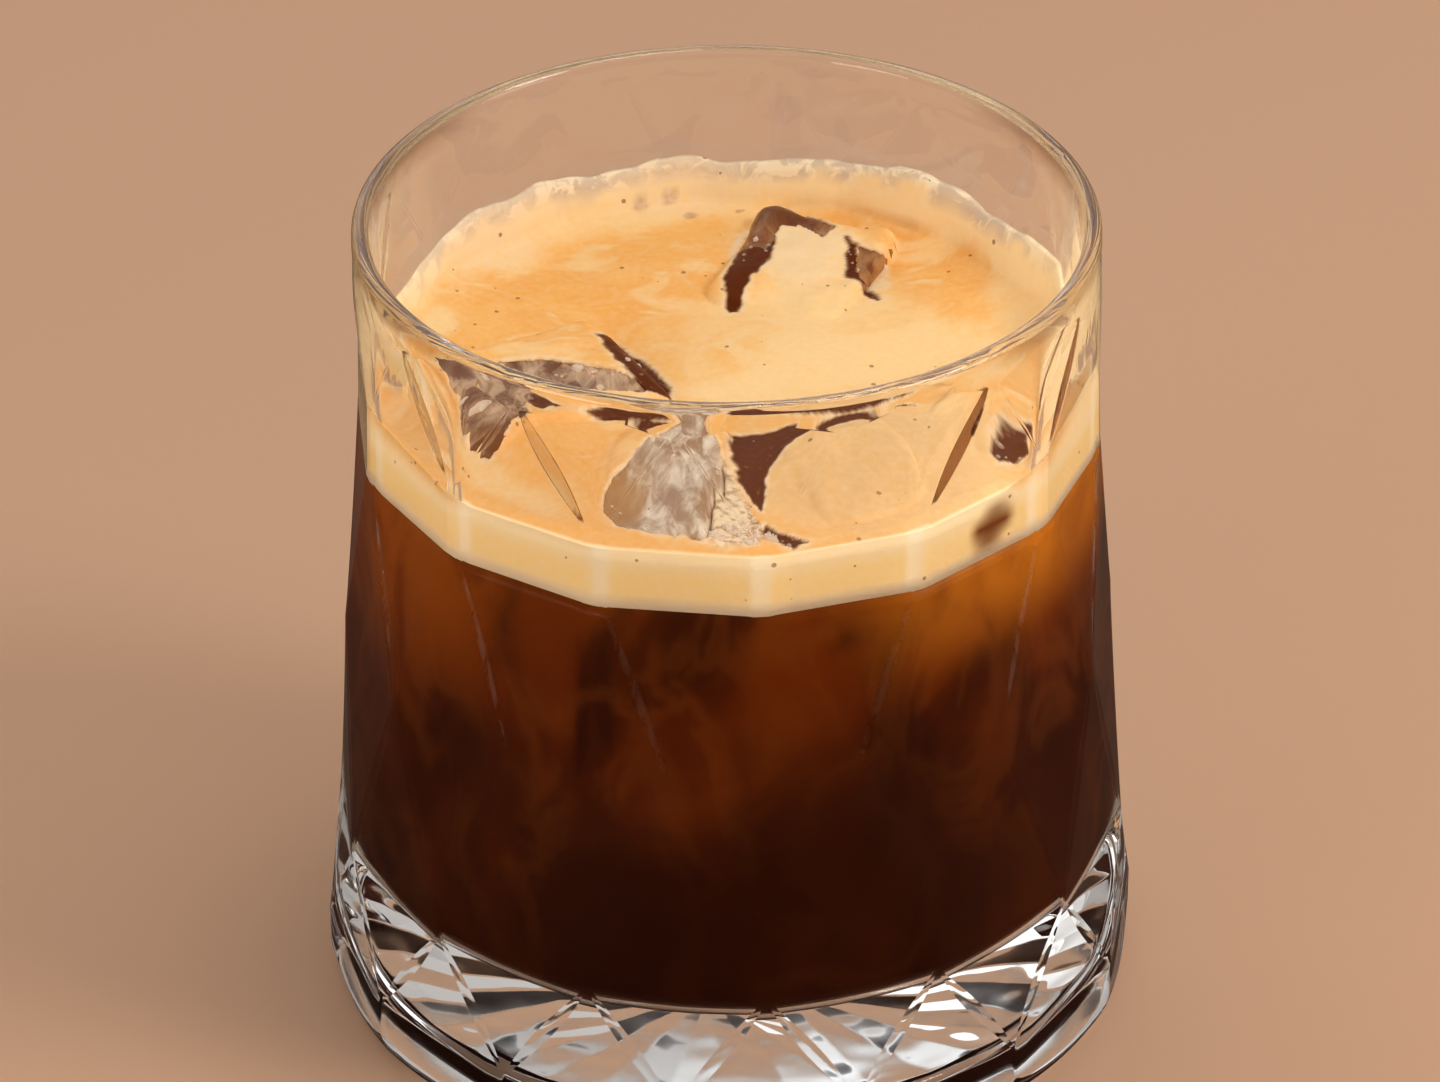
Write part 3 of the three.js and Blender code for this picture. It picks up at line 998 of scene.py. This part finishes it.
drinkLook = {
    "deep": (50, 15, 1), "low": (66, 23, 1), "body": (104, 43, 2), "top": (114, 54, 5),
    "cloud": (118, 54, 10), "wisp": (140, 78, 26), "amber": (194, 118, 32),
    "amberLeft": (176, 100, 30),
    "shades": [  # darker places: middle and reach
        ((13, -36, 40), 15), ((24, -28, 28), 10), ((-27, -26, 46), 8), ((1, -37, 30), 14),
    ],
    "mirror": {"Color": (0.93, 0.96, 0.98, 1), "Roughness": 0.2},
    "mirrorIor": 0.887,  # the drink's own index over that of the glass
}


def drinkSurface():
    material, tree, shader = newMaterial("dark_coffee")
    tints = tintsOf(drinkLook)
    place = millimetres(tree)
    across, _, height = parts(tree, place)
    clouds = noiseOf(tree, stretched(tree, place, (1, 1, 0.75)), 0.045, distortion=0.6)
    smoke = noiseOf(tree, stretched(tree, place, (1, 1, 0.65), (7, 3, 11)), 0.07, distortion=0.8)
    higher = spread(tree, height, 15.0, 62.0, 0.25, 1.0)
    ridged = calc(tree, "ABSOLUTE", calc(tree, "SUBTRACT", smoke, 0.5))
    colour = coats(tree, tints["deep"], [
        (spread(tree, height, 20.0, 46.0), tints["low"]),
        (spread(tree, height, 38.0, 62.0), tints["body"]),
        (spread(tree, height, 58.0, 70.0), tints["top"]),
        (times(tree, spread(tree, clouds, 0.45, 0.75, 0.0, 0.75), higher), tints["cloud"]),
        (spread(tree, clouds, 0.48, 0.32, 0.0, 0.8), tints["deep"]),
        (times(tree, spread(tree, ridged, 0.1, 0.0, 0.0, 0.22), higher), tints["wisp"]),
    ])
    for spot, size in drinkLook["shades"]:
        colour = useGroup(tree, stain, {
            "Color": colour, "Stain": tints["deep"], "Place": place, "Middle": spot, "Noise": smoke,
            "Wander": 10.0, "Edge": size + 9.0, "Core": size * 0.4 + 2.0, "Strength": 0.75,
        })["Color"]
    right = times(tree, spread(tree, height, 55.0, 68.5), spread(tree, across, 8.0, 30.0))
    left = times(tree, spread(tree, across, -20.0, -36.0), spread(tree, height, 46.0, 66.0))
    colour = coats(tree, colour, [
        (times(tree, right, spread(tree, smoke, 0.3, 0.6, 0.25, 1.0)), tints["amber"]),
        (times(tree, left, spread(tree, smoke, 0.35, 0.6, 0.1, 0.55)), tints["amberLeft"]),
    ])
    feed(tree, shader, {"Base Color": colour, "Roughness": 0.6, "Specular IOR Level": 0.0})
    mirror = put(tree, "BsdfGlossy", drinkLook["mirror"])
    grazing = put(tree, "Fresnel", {"IOR": drinkLook["mirrorIor"]})
    mix = put(tree, "MixShader", {0: grazing.outputs[0], 1: shader.outputs[0], 2: mirror.outputs[0]})
    feed(tree, tree.nodes["Material Output"], {"Surface": mix.outputs[0]})
    return material


foamLook = {
    "amber": (243, 184, 106), "deepAmber": (238, 168, 84), "cream": (244, 206, 148),
    "film": (212, 190, 168), "filmPale": (246, 226, 194),
    # painted light: the foam's side against the glass is given pale colours, paler still near its top
    # and low down, to make up for the shade it gets
    "bandTop": (255, 230, 184), "band": (255, 220, 154), "bandLowPaintedLight": (255, 220, 164),
    # painted highlight colour for the streaks on the foam's side
    "paintedGlint": (255, 240, 212), "front": (220, 160, 94),
    "coated": (228, 192, 138), "thin": (238, 212, 176), "dots": (150, 108, 74),
    "icy": (226, 198, 166), "icyDark": (150, 104, 66),
    "window": (122, 66, 26), "pool": (98, 46, 10), "poolPale": (146, 96, 58),
    # the creep colour is painted light on the foam that rises to the glass
    "creep": (250, 222, 172), "spot": (204, 160, 118),
    "creamy": [  # where the paler foam lies: middle, half length and width, turn
        ((8, 13), (12, 7), 10), ((14, 4), (19, 9), -5), ((8, -5), (15, 4), -10),
        ((16, -24), (15, 11), 10), ((30, 2), (7, 8), 0), ((-34, 12), (7, 4), 60),
        ((-25, -24), (8, 3), -40), ((-27, 27), (5, 9), -40), ((9, 25), (5, 6), 0),
        ((-10, 37), (24, 6), 0), ((34, 12), (6, 10), 0),
    ],
    "milky": [((8.5, 24.5), (5.5, 6), 0), ((-4, 38), (9, 3.5), 0), ((-27, 27), (4, 8), -40)],
    # where ice lies close below; the foam there is also coloured darker, as painted shade near the front
    # wall
    "overIceAndShade": [((13, -23), (10.5, 10), 20), ((19, -31), (8, 5), 30)],  # where ice lies close below
    "deeper": [((-16, 14), (16, 11), 20), ((26, 22), (8, 11), 40),
               ((-18, -20), (6, 8), 30), ((14, 35), (10, 4), -10)],
    "spots": [((-4.2, 35.2), (0.9, 0.6), 30), ((1.6, 36.2), (0.5, 0.3), 20)],  # specks on the top
    "wallSpots": [((-10, 80), (1.0, 0.55), 0), ((-6.6, 80.1), (1.1, 0.6), 0)],  # and at the back wall
    "windows": [((47, 73.9), (4.6, 2.2), 8)],  # drink against the glass: turn and height, halves
    "bend": 5, "bendScale": 0.09,  # how far the broad patches are pulled out of shape
}


def paintFoam(obj):  # stores the masks that the foam's colours need, and gives their names
    x, y, z = vertexValues(obj.data, "co").reshape(-1, 3).T / mm
    turns = np.arctan2(x, -y)
    near = np.hypot(x, y) / cavityRadius(foam["level"], turns)
    side = easeStep(near, 0.985, 0.995) * (1 - easeStep(z, 77.4, 78.2))
    bendX = x + foamLook["bend"] * noiseField(x, y, foamLook["bendScale"], 1.3)
    bendY = y + foamLook["bend"] * noiseField(x, y, foamLook["bendScale"], 8.3)
    thin = 0.7 * blobsMask(bendX, bendY, foamLook["milky"], 0.7)
    for outline in [outline for _, outline in foam["bare"]] + foam["pools"]:
        thin = np.maximum(thin, easeStep(distanceInside(x, y, outline), -1.1, 0.1))
    below = wallHeight(turns) - z + 2 * noiseField(x, y, 0.24, 4.4)
    # painted highlights: bright streaks on the foam's side behind each ridge and along its lower edge
    fromRidge = np.mod(turns - firstRidge + halfFacet, 2 * halfFacet) - halfFacet
    paintedGlint = 1 - easeStep(np.abs(fromRidge) * foam["wallRadius"], 0.2, 1.6)
    lowEdgeGlint = 1 - easeStep(z, foam["under"] + 0.1, foam["under"] + 0.8)
    masks = {
        "coated": blobsMask(bendX, bendY, foamLook["overIceAndShade"], 0.3) * (1 - side),
        "creamy": blobsMask(bendX, bendY, foamLook["creamy"], 0.75),
        # painted light on the foam that rises to the glass
        "creep": easeStep(z, 79.3, 81.6) * easeStep(near, 0.8, 0.97),
        "deeper": blobsMask(bendX, bendY, foamLook["deeper"], 0.7),
        "film": (1 - easeStep(below, 1.3, 2.3)) * easeStep(y, 4, 26),
        "icy": areaMask(x, y, foam["icy"], 0.5) * (1 - side),
        "pool": areaMask(x, y, foam["pools"], 0.22) * (1 - side),
        "side": side,
        "spots": np.maximum(blobsMask(x, y, foamLook["spots"], 0.3),
                            blobsMask(x, z, foamLook["wallSpots"], 0.3) * (y > 30)),
        "paintedGlint": np.maximum(0.5 * paintedGlint, 0.8 * lowEdgeGlint) * side,
        "thin": thin,
        "window": blobsMask(np.degrees(turns), z, foamLook["windows"], 0.35) * side,
    }
    for name, values in masks.items():
        storeMask(obj, name, values)
    return list(masks)


def foamSurface(maskNames):
    material, tree, shader = newMaterial("cream_foam")
    tints = tintsOf(foamLook)
    place = millimetres(tree)
    _, along, height = parts(tree, place)
    mask = {name: maskOf(tree, name) for name in maskNames}
    swirl = noiseOf(tree, place, 0.06, detail=3.0, rough=0.45, distortion=1.4)
    veins = noiseOf(tree, stretched(tree, place, (1, 1.5, 1)), 0.11, detail=3.0, distortion=1.0)
    fine = noiseOf(tree, place, 1.1)
    patches = noiseOf(tree, place, 0.3, rough=0.6, distortion=0.8)
    pale = calc(tree, "ADD", mask["creamy"], calc(tree, "MULTIPLY_ADD", swirl, 1.5, -0.72))
    # painted light: the foam's side is paler near its top and low down, against its shade
    band = coats(tree, tints["band"], [
        (spread(tree, height, 74.0, 76.8), tints["bandTop"]),
        (spread(tree, height, 72.4, 70.4), tints["bandLowPaintedLight"]),
    ])
    filmy = mixColours(tree, spread(tree, patches, 0.46, 0.58), tints["film"], tints["filmPale"])
    crushed = mixColours(tree, spread(tree, fine, 0.4, 0.6), tints["icyDark"], tints["icy"])
    pooled = mixColours(tree, spread(tree, fine, 0.6, 0.76), tints["pool"], tints["poolPale"])
    cells = cellsOf(tree, place, 0.42)
    dotSize = spread(tree, parts(tree, cells["Color"])[0], 0.45, 1.0, 0.0, 0.13)
    dots = spread(tree, calc(tree, "SUBTRACT", cells["Distance"], dotSize), 0.02, -0.02)
    colour = coats(tree, tints["amber"], [
        (times(tree, mask["deeper"], spread(tree, veins, 0.3, 0.7)), tints["deepAmber"]),
        (spread(tree, pale, 0.1, 1.0), tints["cream"]),
        (spread(tree, veins, 0.52, 0.68, 0.0, 0.7), tints["cream"]),
        # painted light: where the foam rises to the glass it is painted paler, against its shade
        (times(tree, mask["creep"], 0.9), tints["creep"]),
        # ice close below the foam, and painted shade near the front wall
        (times(tree, mask["coated"], spread(tree, veins, 0.3, 0.6, 0.6, 0.95)), tints["coated"]),
        # painted shade: the foam darkens towards the front wall
        (spread(tree, along, 2.0, -34.0, 0.0, 0.45), tints["front"]),
        (times(tree, mask["side"], 0.9), band),
        # painted highlights at the ridges and along the lower edge
        (mask["paintedGlint"], tints["paintedGlint"]),
        (mask["spots"], tints["spot"]),
        (times(tree, spread(tree, fine, 0.3, 0.75), 0.1), (1, 0.9, 0.75, 1)),
        (times(tree, mask["film"], 0.9), filmy),
        (mask["icy"], crushed),
        (times(tree, mask["thin"], spread(tree, fine, 0.3, 0.6, 0.3, 0.9)), tints["thin"]),
        (mask["pool"], pooled),
        (times(tree, dots, 0.75), tints["dots"]),
        (mask["window"], tints["window"]),
    ])
    relief = calc(tree, "SUBTRACT", times(tree, fine, 0.4), dots)
    feed(tree, shader, {
        "Base Color": colour, "Roughness": spread(tree, mask["pool"], 0.0, 1.0, 0.5, 0.4),
        "Specular IOR Level": 0.1, "Normal": bumpOf(tree, relief, 0.4, 0.0003),
    })
    return material


beadLooks = {  # colour, how much light goes through, roughness
    "wet_bubbles": ((250, 226, 200), 0.6, 0.03),
    "white_chips": ((246, 224, 200), 0.2, 0.3),
}


def beadFinish(name):
    colour, through, roughness = beadLooks[name]
    material, tree, shader = newMaterial(name)
    grain = useGroup(tree, fineGrain, {
        "Place": millimetres(tree), "Scale": 1.7,
        "Dark": srgb(*[0.82 * part for part in colour]), "Light": srgb(*colour),
    })
    feed(tree, shader, {"Base Color": grain["Color"], "Roughness": roughness, "IOR": 1.33,
                        "Transmission Weight": through})
    letLightIn(tree, shader, 0.9)
    return material


def dress(obj, material, slotName, *nodes):
    obj.data.materials.clear()
    obj.data.materials.append(material)
    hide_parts(*nodes)
    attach(obj, "root")


dress(tumbler, clearGlass(), "glass", "glass")
dress(coffeeDrink, drinkSurface(), "coffee", "coffee")
dress(foamLayer, foamSurface(paintFoam(foamLayer)), "foam", "foam")
for name, piece in icePieces.items():
    dress(piece, meltingIce(name), "ice", name)
dress(bubbles, beadFinish("wet_bubbles"), "ice")
dress(chips, beadFinish("white_chips"), "ice")
print("materials set")


# Floor and light

studio = {
    # the second floor colour is the darker look the floor has in the glass's reflections, a painted
    # shade
    "floorColour": (200, 162, 134), "floorShadeInReflections": (90, 66, 50), "floorRoughness": 0.8,
    "floorSize": 6, "floorHeight": -0.0001,
    "worldTop": (255, 250, 246), "worldSide": (240, 234, 228), "worldFront": (120, 110, 100),
    "worldStrength": 0.54,
    "window": {"place": (-0.35, 0.75, 0.55), "edge": 0.55, "core": 0.3, "light": (1.9, 1.88, 1.85, 1)},
    "lamps": [  # name, place, size, power, colour
        ("key", (0.78, -0.3, 0.74), 0.36, 3.35, (255, 250, 244)),
        ("top", (0.2, 0.05, 1.0), 0.3, 1.0, (255, 250, 246)),
        ("left", (-0.62, -0.6, 0.13), 0.4, 2.0, (255, 250, 244)),
        ("right", (0.8, -0.3, 0.16), 0.4, 0.9, (255, 252, 250)),
    ],
}


def makeFloor():
    half, low = studio["floorSize"] / 2, studio["floorHeight"]
    corners = [(-half, -half, low), (half, -half, low), (half, half, low), (-half, half, low)]
    floor = makeObject("floor", corners, [(0, 1, 2, 3)], smooth=False)
    material, tree, shader = newMaterial("pale_floor")
    tints = tintsOf(studio)
    path = put(tree, "LightPath").outputs
    # painted shade: the floor takes a darker colour where the glass reflects it
    shine = calc(tree, "SUBTRACT", path["Is Reflection Ray"], path["Is Diffuse Ray"])
    colour = mixColours(tree, shine, tints["floorColour"],
                        tints["floorShadeInReflections"])  # the floor's shine on the glass is kept low
    feed(tree, shader, {"Base Color": colour, "Roughness": studio["floorRoughness"]})
    floor.data.materials.append(material)


def makeWorld():
    world = bpy.data.worlds.new("soft_light")
    world.use_nodes = True
    tree = world.node_tree
    tints = tintsOf(studio)
    window = studio["window"]
    place = put(tree, "TexCoord").outputs["Generated"]
    _, along, height = parts(tree, place)
    sky = mixColours(tree, spread(tree, height, -0.1, 0.9), tints["worldSide"], tints["worldTop"])
    near = spread(tree, distance(tree, place, window["place"]), window["edge"], window["core"])
    behind = calc(tree, "MAXIMUM", spread(tree, along, -0.9, 0.2), spread(tree, height, 0.3, 0.75))
    colour = mixColours(tree, behind, tints["worldFront"], mixColours(tree, near, sky, window["light"]))
    feed(tree, tree.nodes["Background"], {"Color": colour, "Strength": studio["worldStrength"]})
    bpy.context.scene.world = world


def makeLamps():
    target = Vector((0, 0, 0.05))  # halfway up the glass
    for name, place, size, power, colour in studio["lamps"]:
        lamp = bpy.data.lights.new(name, "AREA")
        lamp.shape = "DISK"
        lamp.size = size
        lamp.energy = power
        lamp.color = srgb(*colour)[:3]
        obj = linked(name, lamp)
        obj.location = place
        obj.rotation_euler = (target - Vector(place)).to_track_quat("-Z", "Y").to_euler()


makeFloor()
makeWorld()
makeLamps()
scene = bpy.context.scene
scene.view_settings.view_transform = "Standard"
scene.view_settings.look = "Medium High Contrast"
scene.cycles.max_bounces = 24  # light turns many times in the heavy foot
scene.cycles.glossy_bounces = 16
scene.cycles.transmission_bounces = 24
print("studio set")
